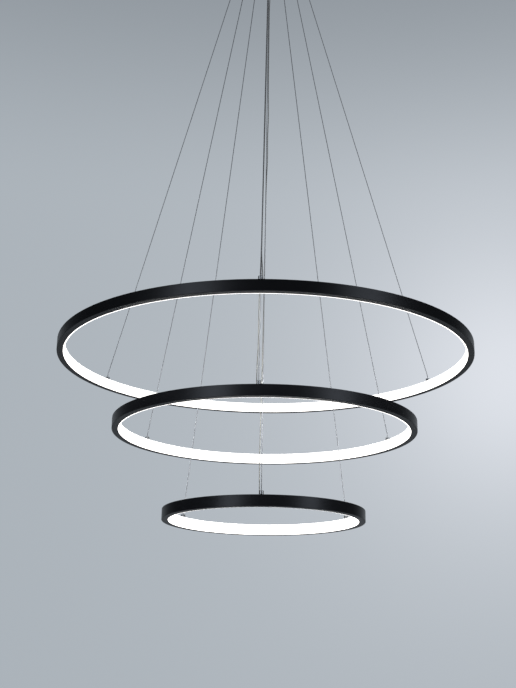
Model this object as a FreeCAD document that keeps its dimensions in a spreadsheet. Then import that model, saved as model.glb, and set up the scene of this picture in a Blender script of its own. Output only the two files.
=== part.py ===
"""Pendant light of three level LED rings hung on steel wires from a round ceiling canopy.

Millimetres, +Z up. The origin is the centre of the ceiling face, and the light hangs below it.
-Y is the front, +X is on the right seen from the front.
"""

import FreeCAD, Part
import Sketcher

import math
import os
from collections import namedtuple
from types import SimpleNamespace

SIZES = [
    # alias, value, what it is
    ("large_radius", 400, "outer radius of the large ring"),
    ("middle_radius", 289, "outer radius of the middle ring"),
    ("small_radius", 189, "outer radius of the small ring"),
    ("large_drop", 962, "ceiling to the top of the large ring"),
    ("middle_drop", 1104, "ceiling to the top of the middle ring"),
    ("small_drop", 1270, "ceiling to the top of the small ring"),
    ("ring_height", 20, "height of a ring"),
    ("housing_depth", 12, "radial depth of the aluminium channel"),
    ("housing_wall", 1.4, "wall of the aluminium channel"),
    ("housing_edge", 0.5, "bevel on the channel's outer edges"),
    ("diffuser_reach", 2.2, "how far the diffuser stands proud of the channel"),
    ("diffuser_wall", 1.6, "wall of the diffuser"),
    ("diffuser_recess", 0.2, "step from the channel's lips down to the diffuser"),
    ("diffuser_leg", 1.2, "how far the diffuser's legs reach into the channel"),
    ("diffuser_edge", 0.6, "bevel on the diffuser's proud edges"),
    ("seam_gap", 0.05, "gap between curved faces that are pushed or glued together"),
    ("strip_width", 10, "width of the LED strip"),
    ("strip_thickness", 0.3, "thickness of the LED strip"),
    ("led_pitch", 33.3, "spacing of the LEDs along the strip"),
    ("led_length", 3.5, "LED package, along the strip"),
    ("led_height", 2.8, "LED package, across the strip"),
    ("led_thickness", 0.8, "LED package, off the strip"),
    ("stud_radius", 4, "barrel of a wire stud"),
    ("stud_height", 7, "barrel of a wire stud above the ring"),
    ("stud_edge", 0.6, "bevel on the top of the barrel"),
    ("stud_thread_radius", 1.5, "thread of a wire stud"),
    ("stud_wire_depth", 3.5, "how deep the wire ends in the stud"),
    ("stud_nut_gap", 0.3, "stud nut plate to the channel's back wall"),
    ("stud_nut_length", 13, "stud nut plate, along the channel"),
    ("stud_nut_height", 2.4, "stud nut plate, thickness"),
    ("thread_clearance", 0.05, "radial gap in threads and in the holes for them"),
    ("wire_radius", 0.75, "suspension wire"),
    ("wire_clearance", 0.2, "radial gap round a wire or cable in its bore"),
    ("wire_bend_radius", 8, "bend of a wire at each end"),
    ("wire_straight", 5, "straight stub of a wire above its stud and below its grip"),
    ("cable_radius", 0.8, "power cable"),
    ("cable_under", 2, "power cable under the slanting front wire, centre to centre"),
    ("cable_stud_side", 3.4, "power cable beside the centre of the front stud"),
    ("cable_tail", 6, "power cable's end below the top face of the ring"),
    ("canopy_radius", 125, "outer radius of the canopy pan"),
    ("canopy_height", 45, "height of the canopy pan"),
    ("canopy_wall", 1.2, "sheet of the canopy pan"),
    ("canopy_edge", 4, "rounding of the pan's lower edge"),
    ("large_exit", 84, "circle on which the large ring's wires leave the canopy"),
    ("middle_exit", 56, "circle on which the middle ring's wires leave the canopy"),
    ("small_exit", 28, "circle on which the small ring's wires leave the canopy"),
    ("grip_radius", 5.5, "barrel of a wire grip below the pan"),
    ("grip_length", 8, "barrel of a wire grip below the pan"),
    ("grip_thread_radius", 4, "thread of a wire grip"),
    ("grip_thread_length", 9, "thread of a wire grip above the pan's underside"),
    ("grip_mouth", 1.6, "thickness of the lip that holds the release tip"),
    ("grip_roof", 1, "solid metal above the spring, below the pan"),
    ("grip_nut_flats", 13, "wire grip nut, across flats"),
    ("grip_nut_height", 3, "wire grip nut"),
    ("tip_radius", 2.2, "release tip where it comes out of the grip"),
    ("tip_head_radius", 3.2, "release tip's head inside the grip"),
    ("tip_head_height", 1.8, "release tip's head"),
    ("tip_reach", 3, "release tip below the grip's barrel"),
    ("tip_travel", 1.5, "how far the release tip is pushed in"),
    ("tip_clearance", 0.08, "running gap round the release tip"),
    ("spring_wall", 1, "wall of the sleeve that stands for the spring"),
    ("wire_spare", 2, "wire end above the grip's thread"),
    ("gland_side", 14, "power cable gland beside the front grip, centre to centre"),
    ("gland_radius", 3.5, "barrel of a cable gland"),
    ("gland_length", 5, "barrel of a cable gland below the pan"),
    ("gland_thread_radius", 2.5, "thread of a cable gland"),
    ("gland_thread_length", 6, "thread of a cable gland above the pan's underside"),
    ("gland_nut_flats", 8, "cable gland nut, across flats"),
    ("gland_nut_height", 2.5, "cable gland nut"),
    ("bracket_width", 24, "ceiling bracket, front to back"),
    ("bracket_thickness", 2, "ceiling bracket sheet"),
    ("bracket_ear", 20, "bracket ear below the ceiling"),
    ("bracket_gap", 0.8, "bracket ear to the pan's wall"),
    ("slot_spacing", 100, "ceiling screw slots, centre to centre"),
    ("slot_length", 16, "ceiling screw slot, end to end"),
    ("slot_width", 5.2, "ceiling screw slot"),
    ("mains_hole_radius", 6, "hole in the bracket for the mains cable"),
    ("side_screw_radius", 2, "canopy side screw thread"),
    ("side_screw_drop", 12, "canopy side screws below the ceiling"),
    ("side_screw_end", 3, "canopy side screw past the inside of the ear"),
    ("screw_head_radius", 3.6, "screw head"),
    ("screw_head_height", 2.4, "screw head"),
    ("earth_screw_place", 20, "earth screw right of the centre"),
    ("terminal_place", 27, "terminal block left of the centre"),
    ("terminal_length", 24, "terminal block, along the bracket"),
    ("terminal_width", 16, "terminal block, across the bracket"),
    ("terminal_height", 16, "terminal block"),
    ("terminal_hole_radius", 2, "terminal block's wire holes"),
    ("driver_length", 84, "LED driver"),
    ("driver_width", 32, "LED driver"),
    ("driver_height", 22, "LED driver"),
    ("driver_edge", 1.5, "bevel on the driver's upright edges"),
    ("driver_margin", 20, "driver's outer side to the pan's wall"),
    ("pad_thickness", 1, "adhesive pad under a driver"),
    ("pad_share", 0.7, "length of a pad as a share of its driver's"),
]

FRONT, RIGHT, LEFT = -90, 30, 150
DRIVER_AZIMUTHS = {"large_ring": 90, "middle_ring": 210, "small_ring": 330}
TERMINAL_POLES = 3
# Degrees by which the middle ring hangs turned, so that its front wire is clear of the small ring's in front view.
MIDDLE_TURN = -0.83
# The cable under a front wire: (share of the way down the straight wire, mm to the wire's right).
# The lighter the ring, the more its cable sways.
CABLE_ROUTES = {
    "large_ring": [(0.11, 0.9), (0.55, 0.9), (0.96, 0.6)],
    "middle_ring": [(0.10, 0.9), (0.45, 0.9), (0.74, -0.6), (0.86, -2.9), (0.935, -1.9), (0.975, -3.4)],
    "small_ring": [
        (0.09, 1.6), (0.30, 1.8), (0.352, 3.3), (0.398, 1.7), (0.442, 2.7), (0.485, 0.5),
        (0.60, -0.2), (0.70, -0.8), (0.80, -1.6), (0.88, -2.8), (0.955, -4.2),
    ],
}

DOC = FreeCAD.newDocument("ring_chandelier")
SHEET = DOC.addObject("Spreadsheet::Sheet", "Sizes")


class Size:
    """A length together with the sheet formula that gives it."""

    def __init__(self, value, formula):
        self.value = value
        self.formula = formula

    def _joined(self, sign, other, value):
        return Size(value, f"({self.formula} {sign} {as_size(other).formula})")

    def __add__(self, other):
        return self._joined("+", other, self.value + as_size(other).value)

    def __sub__(self, other):
        return self._joined("-", other, self.value - as_size(other).value)

    def __mul__(self, other):
        return self._joined("*", other, self.value * as_size(other).value)

    def __truediv__(self, other):
        return self._joined("/", other, self.value / as_size(other).value)

    def __neg__(self):
        return Size(-self.value, f"(-1 * {self.formula})")

    def __float__(self):
        return float(self.value)


def as_size(number):
    return number if isinstance(number, Size) else Size(number, f"({number:.9g})")


def fill_sheet():
    """Write the driving dimensions into the sheet and return them by name."""
    named = {}
    for row, (alias, value, note) in enumerate(SIZES, start=1):
        SHEET.set(f"A{row}", alias)
        SHEET.set(f"B{row}", str(value))
        SHEET.setAlias(f"B{row}", alias)
        SHEET.set(f"C{row}", note)
        named[alias] = Size(value, f"Sizes.{alias}")
    DOC.recompute()
    return SimpleNamespace(**named)


s = fill_sheet()
ZERO = as_size(0)

# cable_way is 1 where the cable enters the ring to the right of the front stud, and -1 to its left.
Ring = namedtuple("Ring", "name radius drop exit_radius turn cable_way")
RINGS = [
    Ring("large_ring", s.large_radius, s.large_drop, s.large_exit, 0, 1),
    Ring("middle_ring", s.middle_radius, s.middle_drop, s.middle_exit, MIDDLE_TURN, -1),
    Ring("small_ring", s.small_radius, s.small_drop, s.small_exit, 0, -1),
]
SIDES = {"front": FRONT, "right": RIGHT, "left": LEFT}


# ---------------------------------------------------------------- building blocks


def place(item, x=ZERO, y=ZERO, z=ZERO, turn=None):
    for axis, size in zip("xyz", (x, y, z)):
        item.setExpression(f"Placement.Base.{axis}", as_size(size).formula)
    if turn is not None:
        item.Placement.Rotation = FreeCAD.Rotation(FreeCAD.Vector(0, 0, 1), turn)
    return item


def primitive(kind, label, sizes, **where):
    """A Part primitive with its sizes and place bound to the sheet."""
    item = DOC.addObject(kind, label)
    for name, size in sizes.items():
        item.setExpression(name, as_size(size).formula)
    return place(item, **where)


def cylinder(label, radius, height, **where):
    return primitive("Part::Cylinder", label, {"Radius": radius, "Height": height}, **where)


def block(label, length, width, height, **where):
    return primitive("Part::Box", label, {"Length": length, "Width": width, "Height": height}, **where)


def cut(label, base, tools):
    """The base with every tool taken away."""
    tool = tools[0]
    if len(tools) > 1:
        tool = DOC.addObject("Part::MultiFuse", label + "_tools")
        tool.Shapes = tools
    item = DOC.addObject("Part::Cut", label)
    item.Base = base
    item.Tool = tool
    return item


def origin_plane(body, role):
    return next(f for f in body.Origin.OriginFeatures if f.Role == role)


def hold(sketch, kind, line, size):
    """Fix one coordinate of a line's start to a size, or to the sketch's axis where it is nought."""
    if size.value == 0:
        axis = -2 if kind == "DistanceX" else -1
        sketch.addConstraint(Sketcher.Constraint("PointOnObject", line, 1, axis))
        return
    number = sketch.addConstraint(Sketcher.Constraint(kind, -1, 1, line, 1, size.value))
    sketch.setExpression(f"Constraints[{number}]", size.formula)


def outline_sketch(body, role, corners):
    """A closed outline on one of the body's planes, each corner held by two bound distances."""
    sketch = body.newObject("Sketcher::SketchObject", body.Label + "_outline")
    sketch.AttachmentSupport = (origin_plane(body, role), [""])
    sketch.MapMode = "FlatFace"
    corners = [(as_size(a), as_size(b)) for a, b in corners]
    points = [FreeCAD.Vector(float(a), float(b), 0) for a, b in corners]
    for start, end in zip(points, points[1:] + points[:1]):
        sketch.addGeometry(Part.LineSegment(start, end), False)
    for line, (a, b) in enumerate(corners):
        following = (line + 1) % len(corners)
        sketch.addConstraint(Sketcher.Constraint("Coincident", line, 2, following, 1))
        hold(sketch, "DistanceX", line, a)
        hold(sketch, "DistanceY", line, b)
    return sketch


def turned(label, corners, **where):
    """A body turned round the vertical axis from (radius, height) corners."""
    body = DOC.addObject("PartDesign::Body", label)
    sketch = outline_sketch(body, "XZ_Plane", corners)
    feature = body.newObject("PartDesign::Revolution", label + "_turned")
    feature.Profile = sketch
    feature.ReferenceAxis = (sketch, ["V_Axis"])
    feature.Angle = 360
    return place(body, **where)


def bent_strip(label, corners, width):
    """A body of (x, height) corners, drawn out to both sides of the XZ plane."""
    body = DOC.addObject("PartDesign::Body", label)
    feature = body.newObject("PartDesign::Pad", label + "_strip")
    feature.Profile = outline_sketch(body, "XZ_Plane", corners)
    feature.setExpression("Length", width.formula)
    feature.Midplane = True
    body.Tip = feature
    return body


def rounded_edges(body, kind, size, wanted):
    """Fillet or chamfer the edges of the body's tip that wanted() picks."""
    DOC.recompute()
    base = body.Tip
    picked = [f"Edge{n}" for n, edge in enumerate(base.Shape.Edges, start=1) if wanted(edge)]
    feature = body.newObject(kind, body.Label + "_edges")
    feature.Base = (base, picked)
    feature.setExpression("Radius" if kind.endswith("Fillet") else "Size", size.formula)
    body.Tip = feature


def group(label, shapes):
    """Separate solids of one kind as one node."""
    item = DOC.addObject("Part::Feature", label)
    item.Shape = Part.makeCompound(shapes)
    return item


def copies(label, master, placements):
    DOC.recompute()
    solid = master.Shape.Solids[0]
    return group(label, [solid.transformed(p.toMatrix(), True) for p in placements])


def spot(x, y, z, turn=0, axis=(0, 0, 1)):
    rotation = FreeCAD.Rotation(FreeCAD.Vector(*axis), turn)
    return FreeCAD.Placement(FreeCAD.Vector(float(x), float(y), float(z)), rotation)


def polar(radius, azimuth):
    """The x and y of a point on a circle."""
    angle = math.radians(azimuth)
    return radius * round(math.cos(angle), 9), radius * round(math.sin(angle), 9)


def hexagon_nut(label, flats, height, bore, **where):
    """A hexagonal nut with a plain bore."""
    corner = flats * (0.5 / math.cos(math.radians(30)))
    prism = primitive("Part::Prism", label + "_prism", {"Circumradius": corner, "Height": height}, **where)
    prism.Polygon = 6
    hole = cylinder(label + "_bore", bore, height, **where)
    return cut(label, prism, [hole])


# ---------------------------------------------------------------- wires and cables


def rounded_path(points, radii):
    """A wire of straight runs joined by tangent arcs, one radius for each inner point."""
    edges = []
    start = points[0]
    for before, corner, after, radius in zip(points, points[1:], points[2:], radii):
        back = (before - corner).normalize()
        ahead = (after - corner).normalize()
        half = (math.pi - back.getAngle(ahead)) / 2
        reach = radius * math.tan(half)
        arc_start = corner + back * reach
        arc_end = corner + ahead * reach
        inward = (back + ahead).normalize()
        middle = corner + inward * (radius / math.cos(half) - radius)
        edges.append(Part.LineSegment(start, arc_start).toShape())
        edges.append(Part.Arc(arc_start, middle, arc_end).toShape())
        start = arc_end
    edges.append(Part.LineSegment(start, points[-1]).toShape())
    return Part.Wire(edges)


def tube(path, radius):
    """A round solid along a path that starts straight down."""
    start = path.Edges[0].valueAt(path.Edges[0].FirstParameter)
    section = Part.Wire([Part.makeCircle(radius, start, FreeCAD.Vector(0, 0, -1))])
    solid = path.makePipeShell([section], True, False)
    if not solid.Solids:
        raise ValueError("a wire or cable has no solid")
    return solid.Solids[0]


def loose_radii(points):
    """For each inner point, the largest arc that its two runs allow."""
    radii = []
    for before, corner, after in zip(points, points[1:], points[2:]):
        run = min((before - corner).Length, (after - corner).Length)
        turn = math.pi - (before - corner).getAngle(after - corner)
        radii.append(0.45 * run / math.tan(turn / 2))
    return radii


# ---------------------------------------------------------------- heights shared by many pieces

pan_floor = -s.canopy_height
wire_top = pan_floor + s.grip_thread_length + s.wire_spare
wire_leaves = pan_floor - s.grip_length - s.tip_reach - s.wire_straight
stud_circle = {ring.name: ring.radius - s.housing_depth / 2 for ring in RINGS}
channel_inner = {ring.name: ring.radius - s.housing_depth for ring in RINGS}


def ring_bottom(ring):
    return -ring.drop - s.ring_height


def azimuths(ring):
    """The directions of a ring's three wires."""
    return {side: azimuth + ring.turn for side, azimuth in SIDES.items()}


def beside_front(ring, radius, side):
    """A place at a distance to the right of the ring's front fitting at a radius."""
    ahead, across = polar(1, FRONT + ring.turn), polar(1, ring.turn)
    return radius * ahead[0] + side * across[0], radius * ahead[1] + side * across[1]


def wire_arrives(ring):
    """Height at which a ring's wires turn upright above their studs."""
    return -ring.drop + s.stud_height + s.wire_straight


# ---------------------------------------------------------------- the rings


def make_housing(ring):
    """Channel open inward, with holes in its top for the studs and the power cable."""
    outer, inner = ring.radius, channel_inner[ring.name]
    top, wall, edge = s.ring_height, s.housing_wall, s.housing_edge
    corners = [
        (outer - edge, ZERO), (outer, edge), (outer, top - edge), (outer - edge, top),
        (inner, top), (inner, top - wall), (outer - wall, top - wall), (outer - wall, wall),
        (inner, wall), (inner, ZERO),
    ]  # fmt: skip
    channel = turned(ring.name + "_channel", corners, z=ring_bottom(ring))
    hole_bottom = -ring.drop - wall * 1.5
    drills = []
    for side, azimuth in azimuths(ring).items():
        x, y = polar(stud_circle[ring.name], azimuth)
        radius = s.stud_thread_radius + s.thread_clearance
        drills.append(cylinder(f"{ring.name}_{side}_drill", radius, wall * 2, x=x, y=y, z=hole_bottom))
    x, y = beside_front(ring, stud_circle[ring.name], s.cable_stud_side * ring.cable_way)
    radius = s.cable_radius + s.wire_clearance
    drills.append(cylinder(ring.name + "_cable_drill", radius, wall * 2, x=x, y=y, z=hole_bottom))
    return cut(ring.name + "_housing", channel, drills)


def make_diffuser(ring):
    """Hollow opal strip whose legs clip behind the channel's lips."""
    lip = channel_inner[ring.name]
    face = lip - s.diffuser_reach
    back = lip - s.seam_gap
    leg = lip + s.diffuser_leg
    top, wall, thick = s.ring_height, s.housing_wall, s.diffuser_wall
    low, high = s.diffuser_recess, s.ring_height - s.diffuser_recess
    edge = s.diffuser_edge
    corners = [
        (face + edge, low), (back, low), (back, wall), (leg, wall), (leg, wall + thick),
        (face + thick, wall + thick), (face + thick, top - wall - thick), (leg, top - wall - thick),
        (leg, top - wall), (back, top - wall), (back, high), (face + edge, high),
        (face, high - edge), (face, low + edge),
    ]  # fmt: skip
    return turned(ring.name + "_diffuser", corners, z=ring_bottom(ring))


def make_led_strip(ring):
    back = ring.radius - s.housing_wall - s.seam_gap
    front = back - s.strip_thickness
    low = (s.ring_height - s.strip_width) / 2
    high = low + s.strip_width
    corners = [(front, low), (back, low), (back, high), (front, high)]
    return turned(ring.name + "_led_strip", corners, z=ring_bottom(ring))


def make_leds(ring):
    """LED packages at an even pitch round the strip, facing inward."""
    strip_face = ring.radius - s.housing_wall - s.seam_gap - s.strip_thickness
    radius = float(strip_face - s.led_thickness)
    count = round(2 * math.pi * radius / float(s.led_pitch))
    chip = Part.makeBox(
        float(s.led_thickness - s.seam_gap), float(s.led_length), float(s.led_height),
        FreeCAD.Vector(radius, -float(s.led_length) / 2, -float(s.led_height) / 2),
    )  # fmt: skip
    height = ring_bottom(ring) + s.ring_height / 2
    return group(
        ring.name + "_leds",
        [chip.transformed(spot(0, 0, height, 360 * n / count).toMatrix(), True) for n in range(count)],
    )


def make_stud_master():
    """A plated barrel with a threaded foot and a hole in which the wire ends."""
    thread, barrel, height = s.stud_thread_radius, s.stud_radius, s.stud_height
    foot = -(s.housing_wall + s.stud_nut_height)
    bore = s.wire_radius + s.wire_clearance
    corners = [
        (ZERO, foot), (thread, foot), (thread, ZERO), (barrel, ZERO), (barrel, height - s.stud_edge),
        (barrel - s.stud_edge, height), (bore, height), (bore, height - s.stud_wire_depth),
        (ZERO, height - s.stud_wire_depth),
    ]  # fmt: skip
    plain = turned("wire_stud", corners)
    groove = cylinder(
        "front_stud_groove", s.cable_radius + s.wire_clearance, s.stud_height, x=s.cable_stud_side
    )
    return plain, cut("front_wire_stud", plain, [groove])


def make_stud_nut_master():
    """A plate in the channel with the stud's thread, and the same plate with a hole for the cable."""
    width = s.housing_depth - (s.housing_wall + s.stud_nut_gap) * 2
    plate = block(
        "stud_nut_plate", s.stud_nut_length, width, s.stud_nut_height,
        x=-s.stud_nut_length / 2, y=-width / 2,
    )  # fmt: skip
    thread = cylinder("stud_nut_thread", s.stud_thread_radius + s.thread_clearance, s.stud_nut_height)
    passage = cylinder(
        "stud_nut_passage", s.cable_radius + s.wire_clearance, s.stud_nut_height, x=s.cable_stud_side
    )
    return cut("stud_nut", plate, [thread]), cut("front_stud_nut", plate, [thread, passage])


def make_studs(ring, studs, nuts):
    """Three studs on the ring with their nut plates, the front ones with a way for the cable."""
    DOC.recompute()
    for name, (plain, front), height in (
        ("_wire_studs", studs, -ring.drop),
        ("_stud_nuts", nuts, -ring.drop - s.housing_wall - s.stud_nut_height),
    ):
        solids = []
        for side, azimuth in azimuths(ring).items():
            x, y = polar(stud_circle[ring.name], azimuth)
            master = front if side == "front" else plain
            placement = spot(x, y, height, azimuth - FRONT + (0 if ring.cable_way > 0 else 180))
            solids.append(master.Shape.Solids[0].transformed(placement.toMatrix(), True))
        group(ring.name + name, solids)


def wire_points(ring, azimuth):
    """A suspension wire: down through the grip, slanting out to the ring, and down into the stud."""
    top = [float(v) for v in polar(ring.exit_radius, azimuth)]
    low = [float(v) for v in polar(stud_circle[ring.name], azimuth)]
    end = -ring.drop + s.stud_height - s.stud_wire_depth
    return [
        FreeCAD.Vector(*top, float(wire_top)),
        FreeCAD.Vector(*top, float(wire_leaves)),
        FreeCAD.Vector(*low, float(wire_arrives(ring))),
        FreeCAD.Vector(*low, float(end)),
    ]


def make_wires(ring):
    bends = [float(s.wire_bend_radius)] * 2
    paths = [rounded_path(wire_points(ring, azimuth), bends) for azimuth in azimuths(ring).values()]
    solids = [tube(path, float(s.wire_radius)) for path in paths]
    for path, solid in zip(paths, solids):
        expected = math.pi * float(s.wire_radius) ** 2 * path.Length
        print(f"{ring.name} wire {path.Length:.1f} mm, volume {solid.Volume / expected:.4f} of its section")
    return group(ring.name + "_wires", solids)


def cable_points(ring):
    """The power cable: from its gland to its place under the front wire, along it, and into the ring."""
    side = float(s.gland_side)
    start, bend = -float(ring.exit_radius), float(wire_leaves)
    end, arrive = -float(stud_circle[ring.name]), float(wire_arrives(ring))
    points = [
        FreeCAD.Vector(side, start, float(wire_top)),
        FreeCAD.Vector(side, start, float(pan_floor - s.gland_length - s.wire_straight)),
    ]
    wire = FreeCAD.Vector(0, end - start, arrive - bend)
    under = FreeCAD.Vector(0, -wire.z, wire.y).normalize() * float(s.cable_under)
    for share, right in CABLE_ROUTES[ring.name]:
        points.append(FreeCAD.Vector(right, start, bend) + wire * share + under)
    stud_side = float(s.cable_stud_side) * ring.cable_way
    points.append(FreeCAD.Vector(stud_side, end, arrive))
    points.append(FreeCAD.Vector(stud_side, end, float(-ring.drop - s.cable_tail)))
    turn = FreeCAD.Rotation(FreeCAD.Vector(0, 0, 1), ring.turn)
    return [turn.multVec(point) for point in points]


def make_cable(ring):
    points = cable_points(ring)
    radii = loose_radii(points)
    path = rounded_path(points, radii)
    solid = tube(path, float(s.cable_radius))
    share = solid.Volume / (math.pi * float(s.cable_radius) ** 2 * path.Length)
    bends = ", ".join(f"{radius:.0f}" for radius in radii)
    print(f"{ring.name} cable {path.Length:.1f} mm, bends {bends} mm, volume {share:.4f} of its section")
    return group(ring.name + "_power_cable", [solid])


# ---------------------------------------------------------------- the canopy


def grip_places():
    """(ring, side, x, y) of each of the nine wire grips."""
    return [
        (ring, side, *polar(ring.exit_radius, azimuth))
        for ring in RINGS
        for side, azimuth in azimuths(ring).items()
    ]


def gland_places():
    return [beside_front(ring, ring.exit_radius, s.gland_side) for ring in RINGS]


def make_pan():
    """Round pressed pan with a rounded lower edge and holes for the grips, glands and side screws."""
    outer, wall, height = s.canopy_radius, s.canopy_wall, s.canopy_height
    corners = [
        (ZERO, ZERO), (outer, ZERO), (outer, height), (outer - wall, height), (outer - wall, wall), (ZERO, wall),
    ]  # fmt: skip
    blank = turned("canopy_blank", corners, z=pan_floor)
    rounded_edges(
        blank, "PartDesign::Fillet", s.canopy_edge,
        lambda edge: edge.Length > 6 * float(outer - wall * 2) and edge.BoundBox.ZMax < 0.01,
    )  # fmt: skip
    drills = []
    below = pan_floor - wall / 2
    for ring, side, x, y in grip_places():
        radius = s.grip_thread_radius + s.thread_clearance
        drills.append(cylinder(f"{ring.name}_{side}_grip_hole", radius, wall * 2, x=x, y=y, z=below))
    for number, (x, y) in enumerate(gland_places()):
        radius = s.gland_thread_radius + s.thread_clearance
        drills.append(cylinder(f"gland_hole_{number}", radius, wall * 2, x=x, y=y, z=below))
    drills.append(side_screw_drill("pan_side_holes"))
    return cut("canopy_pan", blank, drills)


def side_screw_drill(label):
    """A rod across the canopy at the height of the side screws."""
    drill = cylinder(
        label, s.side_screw_radius + s.thread_clearance, s.canopy_radius * 2.2,
        x=-s.canopy_radius * 1.1, z=-s.side_screw_drop,
    )  # fmt: skip
    drill.Placement.Rotation = FreeCAD.Rotation(FreeCAD.Vector(0, 1, 0), 90)
    return drill


def slot_tools(label, x):
    """A slot along X as a block with two round ends."""
    radius, depth = s.slot_width / 2, s.bracket_thickness * 2
    reach = s.slot_length / 2 - radius
    low = -s.bracket_thickness * 1.5
    return [
        block(label + "_middle", reach * 2, s.slot_width, depth, x=x - reach, y=-radius, z=low),
        cylinder(label + "_left", radius, depth, x=x - reach, z=low),
        cylinder(label + "_right", radius, depth, x=x + reach, z=low),
    ]


def make_bracket():
    """Strip under the ceiling with an ear at each end that takes a canopy side screw."""
    reach = s.canopy_radius - s.canopy_wall - s.bracket_gap
    thick, ear, bevel = s.bracket_thickness, s.bracket_ear, s.bracket_thickness / 2
    inner = reach - thick
    corners = [
        (-reach, -ear), (-reach, -bevel), (-reach + bevel, ZERO), (reach - bevel, ZERO), (reach, -bevel),
        (reach, -ear), (inner, -ear), (inner, -thick), (-inner, -thick), (-inner, -ear),
    ]  # fmt: skip
    strip = bent_strip("bracket_strip", corners, s.bracket_width)
    low = -thick * 1.5
    tools = slot_tools("left_slot", -s.slot_spacing / 2) + slot_tools("right_slot", s.slot_spacing / 2)
    tools.append(cylinder("mains_hole", s.mains_hole_radius, thick * 2, z=low))
    earth = s.side_screw_radius + s.thread_clearance
    tools.append(cylinder("earth_hole", earth, thick * 2, x=s.earth_screw_place, z=low))
    tools.append(side_screw_drill("ear_holes"))
    return cut("ceiling_bracket", strip, tools)


def make_screw_master(label, length):
    """A pan-head screw that points down, its head's underside at the origin."""
    head, height, radius = s.screw_head_radius, s.screw_head_height, s.side_screw_radius
    corners = [
        (ZERO, -length), (radius, -length), (radius, ZERO), (head, ZERO), (head, height * 0.6),
        (head * 0.7, height), (ZERO, height),
    ]  # fmt: skip
    screw = turned(label, corners)
    slot = block(
        label + "_slot", head * 2, s.side_screw_radius * 0.4, height,
        x=-head, y=-s.side_screw_radius * 0.2, z=height * 0.6,
    )  # fmt: skip
    return cut(label + "_slotted", screw, [slot])


def make_screws():
    ear_inside = s.canopy_radius - s.canopy_wall - s.bracket_gap - s.bracket_thickness
    side = make_screw_master("side_screw", s.canopy_radius - ear_inside + s.side_screw_end)
    drop = -s.side_screw_drop
    copies(
        "canopy_side_screws", side,
        [spot(s.canopy_radius, 0, drop, 90, (0, 1, 0)), spot(-s.canopy_radius, 0, drop, -90, (0, 1, 0))],
    )  # fmt: skip
    earth = make_screw_master("earth_screw_master", s.bracket_thickness)
    copies("earth_screw", earth, [spot(s.earth_screw_place, 0, -s.bracket_thickness, 180, (1, 0, 0))])


def make_terminal_block():
    """Connector block under the bracket, with a row of wire holes through it."""
    low = -s.bracket_thickness - s.terminal_height
    base = block(
        "terminal_body", s.terminal_length, s.terminal_width, s.terminal_height,
        x=-s.terminal_place - s.terminal_length / 2, y=-s.terminal_width / 2, z=low,
    )  # fmt: skip
    holes = []
    for pole in range(TERMINAL_POLES):
        across = s.terminal_length * ((pole + 0.5) / TERMINAL_POLES - 0.5)
        hole = cylinder(
            f"terminal_hole_{pole}", s.terminal_hole_radius, s.terminal_width * 1.2,
            x=-s.terminal_place + across, y=s.terminal_width * 0.6, z=low + s.terminal_height * 0.4,
        )  # fmt: skip
        hole.Placement.Rotation = FreeCAD.Rotation(FreeCAD.Vector(1, 0, 0), 90)
        holes.append(hole)
    return cut("terminal_block", base, holes)


def make_driver(ring):
    """LED driver lying on the pan's floor, its long side along the pan's wall."""
    centre = s.canopy_radius - s.canopy_wall - s.driver_margin - s.driver_width / 2
    base = pan_floor + s.canopy_wall + s.pad_thickness
    half_length, half_width, bevel = s.driver_length / 2, s.driver_width / 2, s.driver_edge
    body = DOC.addObject("PartDesign::Body", ring.name + "_driver")
    corners = [
        (-half_length + bevel, -half_width), (half_length - bevel, -half_width),
        (half_length, -half_width + bevel), (half_length, half_width - bevel),
        (half_length - bevel, half_width), (-half_length + bevel, half_width),
        (-half_length, half_width - bevel), (-half_length, -half_width + bevel),
    ]  # fmt: skip
    case = body.newObject("PartDesign::Pad", ring.name + "_driver_case")
    case.Profile = outline_sketch(body, "XY_Plane", corners)
    case.setExpression("Length", s.driver_height.formula)
    body.Tip = case
    azimuth = DRIVER_AZIMUTHS[ring.name]
    x, y = polar(centre, azimuth)
    return place(body, x=x, y=y, z=base, turn=azimuth - 90)


def make_driver_pads():
    centre = s.canopy_radius - s.canopy_wall - s.driver_margin - s.driver_width / 2
    length, width = s.driver_length * s.pad_share, s.driver_width * s.pad_share
    pad = block(
        "driver_pad", length, width, s.pad_thickness, x=-length / 2, y=-width / 2
    )
    places = []
    for azimuth in DRIVER_AZIMUTHS.values():
        x, y = polar(centre, azimuth)
        places.append(spot(x, y, pan_floor + s.canopy_wall, azimuth - 90))
    return copies("driver_pads", pad, places)


def make_grips():
    """Nine wire grips: a barrel under the pan, its thread through the floor, and its nut."""
    barrel, length, thread = s.grip_radius, s.grip_length, s.grip_thread_radius
    chamber = s.tip_head_radius + s.tip_clearance
    mouth = s.tip_radius + s.tip_clearance
    bore = s.wire_radius + s.wire_clearance
    top, bevel = s.grip_thread_length, s.stud_edge
    corners = [
        (bore, top), (bore, -s.grip_roof), (chamber, -s.grip_roof), (chamber, -length + s.grip_mouth),
        (mouth, -length + s.grip_mouth), (mouth, -length), (barrel - bevel, -length),
        (barrel, -length + bevel), (barrel, ZERO), (thread, ZERO), (thread, top),
    ]  # fmt: skip
    body = turned("wire_grip", corners)
    places = [spot(x, y, pan_floor) for _, _, x, y in grip_places()]
    copies("wire_grip_bodies", body, places)
    nut = hexagon_nut(
        "wire_grip_nut", s.grip_nut_flats, s.grip_nut_height, thread + s.thread_clearance, z=s.canopy_wall
    )
    copies("wire_grip_nuts", nut, places)


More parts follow.
